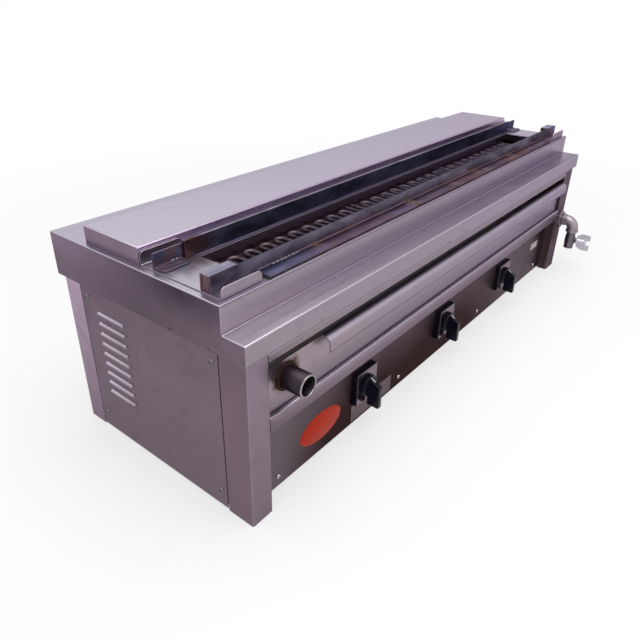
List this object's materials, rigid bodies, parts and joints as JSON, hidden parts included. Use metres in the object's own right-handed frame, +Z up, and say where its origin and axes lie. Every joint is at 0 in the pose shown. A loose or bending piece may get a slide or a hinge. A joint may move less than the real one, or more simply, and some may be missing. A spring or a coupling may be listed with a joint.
{
  "type": "electric broiler",
  "caption": "Counter-top electric broiler with a long heater well under loose skewer rests, a slide-out water tray, rotary switches and a valved water inlet",
  "frame": {"origin": "on the floor plane below the middle of the whole, drain pipe and valve included", "axes": "+X to the operator's right along the deck, +Y to the back, +Z up"},
  "size_m": [1.204, 0.498, 0.363],
  "materials": {
    "stainless": "satin sheet with soft vertical streaks and fine scratches",
    "iron": "dark mill scale with rust at the edges",
    "scaled_steel": "heat-browned sheet",
    "heater_sheath": "burnt grey tube, yellowed at the bends",
    "ceramic": "unglazed, stands in for ceramic",
    "brass": "plain turned",
    "black_plastic": "moulded, slightly glossy",
    "silver_plate": "bare silvered plate",
    "galvanised": "dull galvanised casting",
    "dull_pipe": "dull pipe, browned at the weld",
    "handle_metal": "bright cast",
    "chrome_ball": "polished",
    "screw_steel": "plain",
    "rubber": "matt"
  },
  "bodies": {
    "cabinet": {"front_left_leg": "stainless", "front_right_leg": "stainless", "rear_left_leg": "stainless", "rear_right_leg": "stainless", "upper_front_rail": "stainless", "lower_front_rail": "stainless", "switch_panel": "stainless", "left_side_panel": "stainless", "right_side_panel": "stainless", "rear_panel": "stainless", "bottom_plate": "stainless", "tray_shelf": "stainless", "top_deck": "stainless", "terminal_trough": "stainless", "heater_rail_front": "scaled_steel", "heater_rail_rear": "scaled_steel", "heater_left": "heater_sheath", "heater_middle": "heater_sheath", "heater_right": "heater_sheath", "terminal_insulators": "ceramic", "terminal_nuts": "brass", "left_end_plate": "stainless", "right_end_plate": "stainless", "switch_body_left": "black_plastic", "switch_body_middle": "black_plastic", "switch_body_right": "black_plastic", "switch_bezel_left": "black_plastic", "switch_bezel_middle": "black_plastic", "switch_bezel_right": "black_plastic", "switch_plate_left": "silver_plate", "switch_plate_middle": "silver_plate", "switch_plate_right": "silver_plate", "inlet_nipple": "galvanised", "inlet_locknuts": "galvanised", "inlet_elbow": "galvanised", "valve_body": "galvanised", "fill_tube": "stainless", "cable_grommet": "rubber", "terminal_block": "ceramic", "side_panel_screws": "screw_steel", "switch_panel_screws": "screw_steel", "rear_panel_screws": "screw_steel"},
    "tray": {"tray_pan": "stainless", "tray_front": "stainless", "drain_pipe": "dull_pipe"},
    "cover": {"rear_cover": "stainless"},
    "front_rest": {"front_rest_bar": "iron", "front_rest_blocks": "iron"},
    "rear_rest": {"rear_rest_bar": "iron", "rear_rest_feet": "iron"},
    "knob_left": {"switch_knob_left": "black_plastic", "switch_shaft_left": "screw_steel"},
    "knob_middle": {"switch_knob_middle": "black_plastic", "switch_shaft_middle": "screw_steel"},
    "knob_right": {"switch_knob_right": "black_plastic", "switch_shaft_right": "screw_steel"},
    "valve_key": {"valve_ball": "chrome_ball", "valve_handle": "handle_metal", "valve_handle_nut": "screw_steel"}
  },
  "joints": [
    {"name": "tray_slide", "type": "slide", "parent": "cabinet", "child": "tray", "axis": [0, -1, 0], "range_m": [0, 0.22]},
    {"name": "cover_lift", "type": "slide", "parent": "cabinet", "child": "cover", "axis": [0, 0, 1], "range_m": [0, 0.12]},
    {"name": "front_rest_lift", "type": "slide", "parent": "cabinet", "child": "front_rest", "axis": [0, 0, 1], "range_m": [0, 0.08]},
    {"name": "rear_rest_lift", "type": "slide", "parent": "cabinet", "child": "rear_rest", "axis": [0, 0, 1], "range_m": [0, 0.08]},
    {"name": "knob_left_turn", "type": "hinge", "parent": "cabinet", "child": "knob_left", "pos_m": [-0.305, -0.148, 0.0745], "axis": [0, -1, 0], "range_deg": [-90, 90]},
    {"name": "knob_middle_turn", "type": "hinge", "parent": "cabinet", "child": "knob_middle", "pos_m": [-0.023, -0.148, 0.0745], "axis": [0, -1, 0], "range_deg": [-90, 90]},
    {"name": "knob_right_turn", "type": "hinge", "parent": "cabinet", "child": "knob_right", "pos_m": [0.259, -0.148, 0.0745], "axis": [0, -1, 0], "range_deg": [-90, 90]},
    {"name": "valve_turn", "type": "hinge", "parent": "cabinet", "child": "valve_key", "pos_m": [0.556, -0.199, 0.0875], "axis": [0, -1, 0], "range_deg": [0, 90]}
  ]
}
